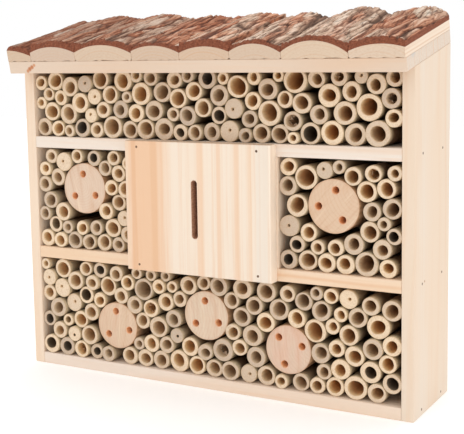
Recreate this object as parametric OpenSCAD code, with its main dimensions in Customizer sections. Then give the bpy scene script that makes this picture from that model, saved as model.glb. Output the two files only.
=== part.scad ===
// Insect hotel: a pine case on three levels, filled with bamboo tubes and drilled logs,
// with a slotted front panel and a sloping roof of waney slabs that keep their bark.
// X runs along the front, Y to the back and Z up. The origin is the middle of the footprint.

/* [Case] */
// Width over the side boards
case_w = 400; // [300:1:520]
// Depth from the front edges to the back panel's outer face
case_d = 92; // [70:1:130]
// Height of the side boards at the front
side_h = 295; // [270:1:380]
// Thickness of the sides, the bottom board, the shelves and the dividers
board_t = 11; // [8:0.5:14]
// Thickness of the back panel
back_t = 8; // [6:0.5:12]
// Clear height of the bottom bay
bottom_clear = 97.5; // [80:0.5:120]
// Clear height of the middle bays
middle_clear = 98.5; // [80:0.5:120]

/* [Roof] */
// Slope of the roof, rising to the back
roof_slope = 11.5; // [5:0.5:20]
// Thickness of the roof board
roof_t = 11.5; // [8:0.5:16]
// Overhang at the front, measured along the slope
roof_overhang = 21; // [10:1:40]
// Thickness of the bark on the slabs
bark_t = 4.5; // [3:0.5:7]
// Gap between neighbouring slabs
slab_gap = 0.4; // [0.3:0.1:1]

/* [Front panel] */
// Width of the front panel
panel_w = 150; // [120:1:180]
// Thickness of the front panel
panel_t = 12; // [8:0.5:16]
// Width of the entrance slot
slot_w = 6; // [5:0.5:10]
// Length of the entrance slot, over its round ends
slot_l = 53; // [30:1:70]
// Sideways place of the slot, from the middle of the panel
slot_x = -1.5; // [-20:0.5:20]
// How far each divider stands out past the panel's edge
divider_reveal = 1; // [0:0.5:5]

/* [Logs] */
// Depth of the drilled holes
log_hole_l = 60; // [30:1:65]
// Diameter of the drilled holes
log_hole_d = 6.5; // [5:0.5:8]
// Distance of the holes from the middle of a log
log_hole_out = 14; // [10:0.5:15]
// How far the logs' faces lie behind the front edges
log_recess = 3; // [1:0.5:8]

/* [Bamboo tubes] */
// Diameter of the thinnest tube
tube_d_min = 10.5; // [9:0.5:14]
// Wall of a tube, at its thinnest
tube_wall = 2.7; // [1.5:0.1:3]
// How much thicker the wall of a wide tube can be
wall_spread = 2; // [0:0.1:2.5]
// Recess of the foremost tube behind the front edges
recess_min = 0.5; // [0:0.5:5]
// Further recess of the rearmost tube
recess_spread = 3; // [0:0.5:8]
// Diameter of the pith hole in a stout cane
pith_d = 2.6; // [1:0.2:4]
// Clearance between a tube and what it touches
tube_gap = 0.3; // [0.2:0.05:0.5]

/* [Fasteners] */
// Diameter of the nails' shanks
nail_d = 1.8; // [1.2:0.1:2.5]
// Diameter of the nails' heads
nail_head_d = 3.4; // [3:0.1:5]
// Length of the nails
nail_l = 28; // [22:1:35]
// Length of the short nails through the back panel
tack_l = 20; // [14:1:25]
// Clearance around the nails and the screws
hole_gap = 0.05; // [0.02:0.01:0.1]

/* [Hangers] */
// Width of a hanger plate
hanger_w = 18; // [15:1:25]
// Height of a hanger plate
hanger_h = 46; // [40:1:60]
// Thickness of a hanger plate
hanger_t = 2; // [1.5:0.1:3]
// Diameter of the keyhole's round opening
keyhole_d = 9; // [7:0.5:10]
// Width of the keyhole's neck
keyhole_neck = 4.6; // [4:0.1:5]
// Depth of the pocket behind the keyhole
pocket_depth = 5; // [4:0.5:5.5]
// Distance of the hangers from the middle
hanger_x = 140; // [80:1:150]

/* [Hidden] */
$fn = 48;

in_w = case_w - 2 * board_t;
front_y = -case_d / 2;
back_y = case_d / 2;
panel_back_y = back_y - back_t;
low_shelf_z = board_t + bottom_clear;
middle_z = low_shelf_z + board_t;
high_shelf_z = middle_z + middle_clear;
top_z = high_shelf_z + board_t;
divider_x = panel_w / 2 + divider_reveal;
side_bay_w = in_w / 2 - divider_x;
roof_back = case_d / cos(roof_slope);
roof_l = roof_overhang + roof_back;
shelf_mid = board_t / 2;
small = 0.01;

nail_head_t = 0.8;
nail_inset = 20;
panel_nail_inset = 13;
slab_nail_bite = 4;
screw_d = 2.6;
screw_l = 6;
screw_hole_d = 3.2;
screw_head_d = 5.8;
screw_top_d = 4;
screw_head_h = 1.6;
hanger_screw_up = hanger_h / 2 - 5;
keyhole_drop = 4;
keyhole_rise = 8;
pocket_margin = 2.5;

// Each bay: left edge, floor, width, height, number of groups its tubes come in
BAY_NAMES = ["bottom", "left", "right", "top"];
BAYS = [
    [-in_w / 2, board_t, in_w, bottom_clear, 6],
    [-in_w / 2, middle_z, side_bay_w, middle_clear, 3],
    [divider_x, middle_z, side_bay_w, middle_clear, 3],
    [-in_w / 2, top_z, in_w, side_h - top_z, 4],
];

// Diameters of the tubes in the order in which they are laid, which then repeats
TUBE_SIZES = [
    [19, 18, 17, 15, 15, 17, 17, 18, 21, 18, 17, 18, 17, 18, 16, 15, 17, 21, 17, 17, 19,
     14, 16, 19, 17, 15, 17, 19, 21, 18, 16, 18, 15, 16, 13, 18, 15, 17, 14, 18, 20, 12, 20, 16],
    [17, 16, 17, 16, 17, 15, 16, 14, 15, 18, 13, 16, 15, 18, 14, 16],
    [17, 18, 17, 17, 21, 16, 15, 15, 17, 13, 18, 16, 19, 14, 18, 12, 20, 16],
    [18, 16, 12, 18, 15, 21, 17, 19, 20, 15, 15, 17, 19, 13, 17, 17, 11, 19, 21, 19, 22,
     17, 20, 16, 18, 14, 22, 18, 16, 17, 15, 19, 17, 20, 13, 17, 23, 16, 18, 17, 19],
];
PITH_EVERY = 13;
SIZE_STEP = 0.5;
SCAN_STEP = 3;
FINE_STEP = 0.25;
LEAN = 0.001;

// Each log: bay, place along and up the room it has in that bay, diameter, hole directions
LOGS = [
    [1, 0.48, 0.72, 49, [96, 214, 334]],
    [2, 0.42, 0.67, 47, [82, 182, 306]],
    [0, 0.20, 0.27, 45, [96, 222, 347]],
    [0, 0.50, 0.67, 46, [95, 216, 338]],
    [0, 0.75, 0.26, 44, [132, 19, 254]],
];

// Each slab: share of the roof's width, then its height at the left edge, crown and right edge
SLABS = [
    [28, 11, 9.5, 5.4],
    [52, 8.4, 13.6, 8.1],
    [63, 8.1, 14.6, 6.9],
    [50, 8.5, 13.1, 6.7],
    [50, 6.2, 11.7, 6.9],
    [49, 6.9, 13.3, 5.4],
    [60, 6.2, 15, 4.5],
    [48, 6, 11.4, 8.6],
];
SLAB_ARC_STEPS = 14;

// Laying the tubes. A laid piece is [x, z, radius], from its bay's lower left corner, and the
// radius includes half of the gap. Each tube goes to the lowest place that is free.

function meets(p, x, z, r) =
    let (dx = p[0] - x, dz = p[1] - z, reach = p[2] + r - small)
    dx * dx + dz * dz < reach * reach;

function is_free(near, x, z, r) = len([for (p = near) if (meets(p, x, z, r)) p]) == 0;

function perch(p, x, r) = p[1] + sqrt(pow(p[2] + r, 2) - pow(p[0] - x, 2));

function rest_z(laid, x, r, h) =
    let (
        near = [for (p = laid) if (abs(p[0] - x) < p[2] + r) p],
        heights = [r, for (p = near) perch(p, x, r)]
    )
    min([h, for (z = heights) if (z >= r && z <= h - r && is_free(near, x, z, r)) z]);

function lowest(laid, xs, r, h) =
    let (
        scores = [for (x = xs) rest_z(laid, x, r, h) + LEAN * x],
        best = min(scores)
    )
    [for (i = [0:len(xs) - 1]) if (scores[i] == best) xs[i]][0];

function find_place(laid, bay, r) =
    let (
        lo = r,
        hi = bay[2] - r,
        rough = lowest(laid, [for (x = [lo:SCAN_STEP:hi]) x, hi], r, bay[3]),
        around = [for (x = [rough - SCAN_STEP:FINE_STEP:rough + SCAN_STEP]) min(hi, max(lo, x))],
        x = lowest(laid, around, r, bay[3])
    )
    [x, rest_z(laid, x, r, bay[3]), r];

function lay(laid, bay, sizes, i, cap) =
    let (r = min(cap, (max(tube_d_min, sizes[i % len(sizes)]) + tube_gap) / 2))
    r < tube_d_min / 2 ? laid :
    let (place = find_place(laid, bay, r))
    place[1] >= bay[3] ? lay(laid, bay, sizes, i, r - SIZE_STEP) :
    lay([each laid, place], bay, sizes, i + 1, cap);

function log_r(log) = log[3] / 2 + tube_gap / 2;

function log_at(log) =
    let (bay = BAYS[log[0]], r = log_r(log))
    [r + log[1] * (bay[2] - 2 * r), r + log[2] * (bay[3] - 2 * r)];

function logs_in(b) = [for (log = LOGS) if (log[0] == b) [each log_at(log), log_r(log)]];

function tubes_in(b) =
    let (logs = logs_in(b), laid = lay(logs, BAYS[b], TUBE_SIZES[b], 0, case_w))
    [for (i = [len(logs):len(laid) - 1]) laid[i]];

// Points of the arc through a left point, the crown in the middle, and a right point.
function arc_points(w, left, crown, right) =
    let (
        a = [0, left], b = [w / 2, crown], c = [w, right],
        d = 2 * (a[0] * (b[1] - c[1]) + b[0] * (c[1] - a[1]) + c[0] * (a[1] - b[1])),
        x = (a * a * (b[1] - c[1]) + b * b * (c[1] - a[1]) + c * c * (a[1] - b[1])) / d,
        z = (a * a * (c[0] - b[0]) + b * b * (a[0] - c[0]) + c * c * (b[0] - a[0])) / d,
        r = norm([x, z - left])
    )
    [
        for (i = [0:SLAB_ARC_STEPS])
            let (u = w * i / SLAB_ARC_STEPS)
            [u, z + sqrt(r * r - pow(u - x, 2))]
    ];

function sum_before(list, i) = i == 0 ? 0 : list[i - 1][0] + sum_before(list, i - 1);
function slab_x(i) = case_w * (sum_before(SLABS, i) / sum_before(SLABS, len(SLABS)) - 0.5);

// Places a child on the roof, with Y along the slope from the front edge of the case.
module on_roof() translate([0, front_y, side_h]) rotate([roof_slope, 0, 0]) children();

module board(x, y, z, size) translate([x, y, z]) cube(size);

// A board standing across X whose top follows the roof.
module sloped_board(x, w, y0, y1) {
    top = [for (y = [y0, y1]) side_h + (y - front_y) * tan(roof_slope)];
    translate([x, 0, 0]) rotate([90, 0, 90]) linear_extrude(w)
        polygon([[y0, 0], [y1, 0], [y1, top[1]], [y0, top[0]]]);
}

// A nail along +Z whose head is flush with the plane Z = 0, entered from below.
module nail(l, gap = 0) {
    cylinder(d = nail_d + 2 * gap, h = l + gap);
    cylinder(d = nail_head_d + 2 * gap, h = nail_head_t + gap);
}

module side_nails_with(gap) {
    for (side = [-1, 1], y = [front_y + nail_inset, back_y - nail_inset], z = [0, low_shelf_z, high_shelf_z])
        translate([side * case_w / 2, y, z + shelf_mid]) rotate([0, -90 * side, 0]) nail(nail_l, gap);
}

module divider_nails_with(gap) {
    x = divider_x - board_t / 2;
    for (side = [-1, 1], y = [front_y + nail_inset, panel_back_y - nail_inset]) {
        translate([side * x, y, top_z]) mirror([0, 0, 1]) nail(nail_l, gap);
        translate([side * x, y, low_shelf_z]) nail(nail_l, gap);
    }
}

module panel_nails_with(gap) {
    x = panel_w / 2 - panel_nail_inset;
    for (side = [-1, 1], z = [low_shelf_z, high_shelf_z])
        translate([side * x, front_y - panel_t, z + shelf_mid]) rotate([-90, 0, 0]) nail(nail_l, gap);
}

module back_nails_with(gap) {
    for (x = [-0.42, -0.14, 0.14, 0.42] * in_w, z = [0, low_shelf_z, high_shelf_z])
        translate([x, back_y, z + shelf_mid]) rotate([90, 0, 0]) nail(tack_l, gap);
}

module roof_nails_with(gap) {
    x = (case_w - board_t) / 2;
    for (side = [-1, 1], u = [nail_inset, roof_back - nail_inset])
        on_roof() translate([side * x, u, roof_t]) mirror([0, 0, 1]) nail(nail_l, gap);
}

// The slab nails come up through the roof board, so that none shows on the bark.
module slab_nails_with(gap) {
    for (i = [0:len(SLABS) - 1], u = [nail_inset, roof_back - nail_inset]) {
        inner = in_w / 2 - nail_head_d;
        x = min(inner, max(-inner, (slab_x(i) + slab_x(i + 1)) / 2));
        on_roof() translate([x, u, 0]) nail(roof_t + slab_nail_bite, gap);
    }
}

// A keyhole through the height h, from the plane Z = 0, with every side moved out by widen.
module keyhole(h, widen) {
    neck = keyhole_neck + 2 * widen;
    translate([0, -keyhole_drop, 0]) {
        cylinder(d = keyhole_d + 2 * widen, h = h);
        translate([0, keyhole_rise, 0]) cylinder(d = neck, h = h);
        translate([-neck / 2, 0, 0]) cube([neck, keyhole_rise, h]);
    }
}

// Hanger frame: X to the viewer's right from behind, Y up, Z out of the back.
module at_hanger(side)
    translate([side * hanger_x, back_y, high_shelf_z + shelf_mid - hanger_screw_up])
        rotate([90, 0, 180]) children();

// A screw whose head sits on the plate, with its shank along -Z.
module screw(gap = 0) {
    cylinder(d = screw_hole_d + 2 * gap, h = hanger_t);
    translate([0, 0, hanger_t]) cylinder(d1 = screw_head_d, d2 = screw_top_d, h = screw_head_h);
    translate([0, 0, -screw_l - gap]) cylinder(d = screw_d + 2 * gap, h = screw_l + gap);
}

module hanger_screws_with(gap) {
    for (side = [-1, 1], up = [-1, 1] * hanger_screw_up)
        at_hanger(side) translate([0, up, 0]) screw(gap);
}

module hanger(side) color("silver") difference() {
    at_hanger(side) translate([-hanger_w / 2, -hanger_h / 2, 0]) cube([hanger_w, hanger_h, hanger_t]);
    at_hanger(side) translate([0, 0, -1]) keyhole(hanger_t + 2, 0);
    hanger_screws_with(hole_gap);
}

module side_board(side) color("navajowhite") difference() {
    sloped_board(side < 0 ? -case_w / 2 : case_w / 2 - board_t, board_t, front_y, back_y);
    side_nails_with(hole_gap);
    roof_nails_with(hole_gap);
}

module shelf(z) color("burlywood") difference() {
    board(-in_w / 2, front_y, z, [in_w, case_d - back_t, board_t]);
    side_nails_with(hole_gap);
    divider_nails_with(hole_gap);
    panel_nails_with(hole_gap);
    back_nails_with(hole_gap);
}

module left_side() side_board(-1);
module right_side() side_board(1);
module bottom_board() shelf(0);
module lower_shelf() shelf(low_shelf_z);
module upper_shelf() shelf(high_shelf_z);

module divider(side) color("wheat") difference() {
    x = side < 0 ? -divider_x : divider_x - board_t;
    board(x, front_y, middle_z, [board_t, case_d - back_t, middle_clear]);
    divider_nails_with(hole_gap);
}

module back_panel() color("tan") difference() {
    sloped_board(-in_w / 2, in_w, panel_back_y, back_y);
    back_nails_with(hole_gap);
    hanger_screws_with(hole_gap);
    for (side = [-1, 1])
        at_hanger(side) translate([0, 0, -pocket_depth]) keyhole(pocket_depth + 1, pocket_margin);
}

module roof_board() color("burlywood") difference() {
    on_roof() translate([-case_w / 2, -roof_overhang, 0]) cube([case_w, roof_l, roof_t]);
    roof_nails_with(hole_gap);
    slab_nails_with(hole_gap);
}

module front_panel() color("moccasin") difference() {
    board(-panel_w / 2, front_y - panel_t, low_shelf_z, [panel_w, panel_t, top_z - low_shelf_z]);
    translate([slot_x, front_y, (low_shelf_z + top_z) / 2]) rotate([90, 0, 0]) translate([0, 0, -1]) {
        straight = slot_l - slot_w;
        translate([-slot_w / 2, -straight / 2, 0]) cube([slot_w, straight, panel_t + 2]);
        for (end = [-1, 1]) translate([0, end * straight / 2, 0]) cylinder(d = slot_w, h = panel_t + 2);
    }
    panel_nails_with(hole_gap);
}

// A strip along the slope whose cross-section is the child, drawn in X and height.
module along_roof(x, z)
    on_roof() translate([x, roof_back, z]) rotate([90, 0, 0]) linear_extrude(roof_l) children();

module roof_slab(i) color("wheat") difference() {
    w = slab_x(i + 1) - slab_x(i) - slab_gap;
    slab = SLABS[i];
    along_roof(slab_x(i) + slab_gap / 2, roof_t)
        polygon([[w, 0], [0, 0], each arc_points(w, slab[1], slab[2], slab[3])]);
    slab_nails_with(hole_gap);
}

module slab_bark(i) color("sienna") {
    w = slab_x(i + 1) - slab_x(i) - slab_gap;
    slab = SLABS[i];
    wood = arc_points(w, slab[1], slab[2], slab[3]);
    outside = [for (p = wood) p + [0, bark_t]];
    along_roof(slab_x(i) + slab_gap / 2, roof_t)
        polygon([each wood, for (j = [len(outside) - 1:-1:0]) outside[j]]);
}

// Lays a child along +Y in a bay, at x and z from its lower left corner.
module in_bay(b, x, z, y) translate([BAYS[b][0] + x, y, BAYS[b][1] + z]) rotate([-90, 0, 0]) children();

module log_piece(log) color("peru") {
    at = log_at(log);
    l = panel_back_y - tube_gap - front_y - log_recess;
    in_bay(log[0], at[0], at[1], front_y + log_recess) difference() {
        cylinder(d = log[3], h = l);
        for (a = log[4])
            translate([log_hole_out * cos(a), -log_hole_out * sin(a), -1])
                cylinder(d = log_hole_d, h = log_hole_l + 1);
    }
}

module tube_group(b, k) color("khaki") {
    tubes = tubes_in(b);
    n = len(tubes);
    groups = BAYS[b][4];
    chance = rands(0, 1, 2 * n, 11 + b);
    for (i = [floor(n * (k - 1) / groups):floor(n * k / groups) - 1]) {
        r = tubes[i][2] - tube_gap / 2;
        y = front_y + recess_min + recess_spread * chance[2 * i];
        wall = tube_wall + wall_spread * chance[2 * i + 1] * (2 * r / tube_d_min - 1);
        bore = i % PITH_EVERY == PITH_EVERY - 1 ? pith_d / 2 : r - wall;
        l = panel_back_y - tube_gap - y;
        in_bay(b, tubes[i][0], tubes[i][1], y) difference() {
            cylinder(r = r, h = l);
            translate([0, 0, -1]) cylinder(r = bore, h = l + 2);
        }
    }
}

module nails() color("dimgray") children();

left_side();
right_side();
bottom_board();
lower_shelf();
upper_shelf();
divider(-1);  // left_divider
divider(1);  // right_divider
back_panel();
roof_board();
front_panel();
for (i = [1:len(SLABS)]) {
    roof_slab(i - 1);
    slab_bark(i - 1);
}
for (i = [1:len(LOGS)])
    log_piece(LOGS[i - 1]);
for (b = [0:len(BAYS) - 1], k = [1:BAYS[b][4]])
    tube_group(b, k);
nails() side_nails_with(0);  // side_nails
nails() divider_nails_with(0);  // divider_nails
nails() panel_nails_with(0);  // panel_nails
nails() back_nails_with(0);  // back_nails
nails() roof_nails_with(0);  // roof_nails
nails() slab_nails_with(0);  // slab_nails
hanger(-1);  // left_hanger
hanger(1);  // right_hanger
color("silver") hanger_screws_with(0);  // hanger_screws
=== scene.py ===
import math

import bmesh
import bpy
import numpy as np
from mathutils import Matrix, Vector, noise


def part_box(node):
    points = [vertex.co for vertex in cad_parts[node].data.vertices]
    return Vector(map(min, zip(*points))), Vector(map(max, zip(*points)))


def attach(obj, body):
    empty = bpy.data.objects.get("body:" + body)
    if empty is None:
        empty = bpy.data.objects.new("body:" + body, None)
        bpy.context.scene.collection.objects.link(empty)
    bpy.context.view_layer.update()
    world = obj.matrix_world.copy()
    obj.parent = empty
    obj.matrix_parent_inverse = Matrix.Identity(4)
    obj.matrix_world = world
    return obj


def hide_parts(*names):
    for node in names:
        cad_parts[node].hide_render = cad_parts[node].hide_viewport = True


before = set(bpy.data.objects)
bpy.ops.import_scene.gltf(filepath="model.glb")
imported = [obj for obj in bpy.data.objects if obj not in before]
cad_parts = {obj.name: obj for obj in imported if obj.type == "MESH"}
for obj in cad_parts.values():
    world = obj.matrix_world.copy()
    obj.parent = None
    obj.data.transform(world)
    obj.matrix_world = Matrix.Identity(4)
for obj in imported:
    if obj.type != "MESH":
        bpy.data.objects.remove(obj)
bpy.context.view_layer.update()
mm = 0.001
weldDistance = 1e-6
pointStep = 1e-5  # points nearer than this are one corner of a board


# shader maths

class Value:
    # wraps an output socket, so that sums on it add Math nodes
    def __init__(self, finish, socket):
        self.finish = finish
        self.socket = socket

    def math(self, operation, *others):
        return self.finish.node("Math", {"operation": operation}, [self, *others])

    def flipped(self, operation, other):
        return self.finish.node("Math", {"operation": operation}, [other, self])

    def __add__(self, other):
        return self.math("ADD", other)

    def __sub__(self, other):
        return self.math("SUBTRACT", other)

    def __mul__(self, other):
        return self.math("MULTIPLY", other)

    def __truediv__(self, other):
        return self.math("DIVIDE", other)

    def __pow__(self, other):
        return self.math("POWER", other)

    def __rsub__(self, other):
        return self.flipped("SUBTRACT", other)

    def __rtruediv__(self, other):
        return self.flipped("DIVIDE", other)

    def __rpow__(self, other):
        return self.flipped("POWER", other)

    __radd__ = __add__
    __rmul__ = __mul__

    def clamped(self):
        return self.finish.node("Clamp", {}, [self, 0.0, 1.0])

    def between(self, low, high):
        # 0 below low, 1 above high, smooth in between
        settings = {"interpolation_type": "SMOOTHSTEP"}
        return self.finish.node("MapRange", settings, [self, low, high, 0.0, 1.0])

    def awayFrom(self, middle):
        return (self - middle).math("ABSOLUTE")


class Finish:
    # one procedural material and the nodes in it
    def __init__(self, name):
        self.material = bpy.data.materials.new(name)
        self.material.use_nodes = True
        self.tree = self.material.node_tree
        self.tree.nodes.clear()

    def node(self, kind, settings=None, sockets=(), out=0):
        made = self.tree.nodes.new("ShaderNode" + kind)
        for key, value in (settings or {}).items():
            if key == "stops":
                self.setStops(made.color_ramp, value)
            else:
                setattr(made, key, value)
        pairs = sockets.items() if isinstance(sockets, dict) else enumerate(sockets)
        for key, value in pairs:
            if isinstance(value, Value):
                self.tree.links.new(value.socket, made.inputs[key])
            else:
                made.inputs[key].default_value = value
        return Value(self, made.outputs[out]) if made.outputs else None

    def setStops(self, ramp, stops):
        while len(ramp.elements) < len(stops):
            ramp.elements.new(1.0)
        for element, (position, colour) in zip(ramp.elements, stops):
            element.position = position
            element.color = colour

    def ramp(self, value, stops):
        return self.node("ValToRGB", {"stops": stops}, [value])

    def mix(self, factor, first, second):
        return self.node("Mix", {"data_type": "RGBA"}, {0: factor, 6: first, 7: second}, out=2)

    def stained(self, colour, *stains):
        for mask, stain in stains:
            colour = self.mix(mask, colour, stain)
        return colour

    def place(self):
        return self.node("TexCoord", out="Object")

    def axes(self, vector):
        return [self.node("SeparateXYZ", {}, [vector], out=i) for i in range(3)]

    def vector(self, x, y, z):
        return self.node("CombineXYZ", {}, [x, y, z])

    def noise(self, vector, scale, detail, roughness=0.5):
        sockets = {"Vector": vector, "Scale": scale, "Detail": detail, "Roughness": roughness}
        return self.node("TexNoise", {}, sockets)

    def field(self, x, y, z, detail, roughness=0.5):
        return self.noise(self.vector(x, y, z), 1.0, detail, roughness)

    def cells(self, vector, scale):
        return self.node("TexVoronoi", {}, {"Vector": vector, "Scale": scale})

    def attribute(self, name):
        return self.node("Attribute", {"attribute_name": name}, out="Color")

    def bump(self, height, distance, strength):
        return self.node("Bump", {}, {"Height": height, "Distance": distance, "Strength": strength})

    def surface(self, colour, roughness, gloss, others):
        sockets = {"Base Color": colour, "Roughness": roughness, "Specular IOR Level": gloss, **others}
        self.node("OutputMaterial", {}, [self.node("BsdfPrincipled", {}, sockets)])
        return self.material


def tone(red, green, blue):
    # a colour as seen, from 0 to 255, turned into linear light
    linear = []
    for part in (red, green, blue):
        share = part / 255
        linear.append(share / 12.92 if share <= 0.04045 else ((share + 0.055) / 1.055) ** 2.4)
    return (*linear, 1.0)


# reading the frame

def nodePoints(name):
    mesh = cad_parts[name].data
    points = np.zeros(len(mesh.vertices) * 3)
    mesh.vertices.foreach_get("co", points)
    return points.reshape(-1, 3)


def loosePieces(name):
    # the points of each separate solid in a node, welded where the normals split them
    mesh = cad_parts[name].data
    points = nodePoints(name)
    keys = {}
    weld = [keys.setdefault(tuple(p), len(keys)) for p in np.round(points / weldDistance).astype(int)]
    parent = list(range(len(keys)))

    def root(i):
        while parent[i] != i:
            parent[i] = parent[parent[i]]
            i = parent[i]
        return i

    for polygon in mesh.polygons:
        first, *rest = [weld[i] for i in polygon.vertices]
        for other in rest:
            parent[root(other)] = root(first)
    groups = {}
    for i, key in enumerate(weld):
        groups.setdefault(root(key), []).append(i)
    return [points[members] for members in groups.values()]


nodeNames = sorted(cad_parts)
sidePoints = nodePoints("right_side")
frontY, backY = sidePoints[:, 1].min(), sidePoints[:, 1].max()
frontTop = sidePoints[sidePoints[:, 1] < frontY + mm, 2].max()
backTop = sidePoints[sidePoints[:, 1] > backY - mm, 2].max()
roofSlope = math.atan2(backTop - frontTop, backY - frontY)
slopeCos, slopeSin = math.cos(roofSlope), math.sin(roofSlope)


def toRoof(points):
    # X, the way up the slope from the case's front edge, and the height over the roof board's
    # underside
    away, up = points[:, 1] - frontY, points[:, 2] - frontTop
    along = away * slopeCos + up * slopeSin
    over = up * slopeCos - away * slopeSin
    return np.column_stack([points[:, 0], along, over])


def fromRoof(points):
    away = points[:, 1] * slopeCos - points[:, 2] * slopeSin
    up = points[:, 1] * slopeSin + points[:, 2] * slopeCos
    return np.column_stack([points[:, 0], away + frontY, up + frontTop])


# making pieces

def show(thing):
    bpy.context.scene.collection.objects.link(thing)


def addPiece(name, mesh, finishes, node, sharpAngle=35):
    for finish in finishes:
        mesh.materials.append(finish)
    mesh.shade_smooth()
    mesh.set_sharp_from_angle(angle=math.radians(sharpAngle))
    piece = bpy.data.objects.new(name, mesh)
    show(piece)
    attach(piece, "root")
    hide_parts(node)


def buildMesh(name, points, faces, faceFinish=None, colours=None):
    mesh = bpy.data.meshes.new(name)
    mesh.from_pydata([tuple(p) for p in points], [], faces)
    if faceFinish is not None:
        mesh.polygons.foreach_set("material_index", faceFinish)
    for label, values in (colours or {}).items():
        layer = mesh.color_attributes.new(label, "FLOAT_COLOR", "POINT")
        layer.data.foreach_set("color", np.asarray(values, np.float32).ravel())
    mesh.update()
    return mesh


def fullTurn(count):
    return np.linspace(0, 2 * math.pi, count, endpoint=False)


def turnNoise(turn, lumps, seed):
    # noise that closes on itself round a full turn
    return np.array([noise.noise(Vector((math.cos(t) * lumps, math.sin(t) * lumps, seed))) for t in turn])


def bandFaces(here, after, sides):
    # the faces between two rings, each given by the number of its first point
    pairs = [(i, (i + 1) % sides) for i in range(sides)]
    return [(here + i, here + k, after + k, after + i) for i, k in pairs]


def roundedHull(name, points, radius):
    # the convex block around some points, with its edges eased
    block = bmesh.new()
    for point in np.unique(np.round(points / pointStep) * pointStep, axis=0):
        block.verts.new(point)
    hull = bmesh.ops.convex_hull(block, input=block.verts)
    loose = [v for v in hull["geom_interior"] if isinstance(v, bmesh.types.BMVert)]
    bmesh.ops.delete(block, geom=loose, context="VERTS")
    bmesh.ops.dissolve_limit(block, angle_limit=math.radians(1), verts=block.verts, edges=block.edges)
    bmesh.ops.bevel(block, geom=list(block.edges), offset=radius, segments=3, profile=0.5, affect="EDGES")
    mesh = bpy.data.meshes.new(name)
    block.to_mesh(mesh)
    block.free()
    return mesh


def cutPlate(name, outline, holes, thickness, rounding):
    # a flat plate with holes through it, drawn in X and Y, whose top is at Z = 0
    drawing = bpy.data.curves.new(name, "CURVE")
    drawing.dimensions = "2D"
    drawing.fill_mode = "BOTH"
    drawing.extrude = thickness / 2 - rounding
    drawing.bevel_depth = rounding
    drawing.bevel_resolution = 2
    drawing.offset = -rounding
    for loop in [outline, *holes]:
        spline = drawing.splines.new("POLY")
        spline.points.add(len(loop) - 1)
        places = np.column_stack([loop, np.zeros(len(loop)), np.ones(len(loop))])
        spline.points.foreach_set("co", places.ravel())
        spline.use_cyclic_u = True
    holder = bpy.data.objects.new(name + "Drawing", drawing)
    show(holder)
    solid = holder.evaluated_get(bpy.context.evaluated_depsgraph_get())
    mesh = bpy.data.meshes.new_from_object(solid)
    bpy.data.objects.remove(holder)
    work = bmesh.new()
    work.from_mesh(mesh)
    bmesh.ops.remove_doubles(work, verts=work.verts, dist=weldDistance)
    bmesh.ops.translate(work, verts=work.verts, vec=(0, 0, -thickness / 2))
    work.to_mesh(mesh)
    work.free()
    return mesh


def standUp(mesh, x, y, z):
    # turns a plate drawn in X and Y to face the front, at the given place
    for vertex in mesh.vertices:
        across, up, out = vertex.co
        vertex.co = (x + across, y - out, z + up)


# timber: one field of year rings shows as arcs on the ends and as stripes along the faces
# heart is where the tree's middle lies, across the grain; a streak is its middle, half its width,
# its share and its tone; a spot is its place, its radius and its tone

timber = {
    "light": tone(236, 217, 197), "late": tone(225, 181, 142), "warm": tone(231, 198, 164),
    "endTone": tone(208, 186, 163), "ring": 5.0 * mm, "contrast": 0.7, "warmth": 0.5, "wander": 9 * mm,
    "heart": (0.02, -0.09), "roughness": 0.62, "spots": [], "streaks": [], "sawn": tone(190, 152, 118),
}


def grainAxes(finish, along):
    # distance along the grain, then the two distances across it
    x, y, z = finish.axes(finish.place())
    if along == "X":
        return x, y, z
    if along == "Z":
        return z, x, y
    up = z - frontTop
    away = y - frontY
    slope = away * slopeCos + up * slopeSin
    over = up * slopeCos - away * slopeSin
    return slope, x, over


def endMask(finish, along):
    # 1 where the surface is sawn across the grain
    x, y, z = finish.axes(finish.node("NewGeometry", out="True Normal"))
    if along == "slope":
        facing = y * slopeCos + z * slopeSin
    else:
        facing = {"X": x, "Z": z}[along]
    return facing.math("ABSOLUTE").between(0.75, 0.95)


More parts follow.
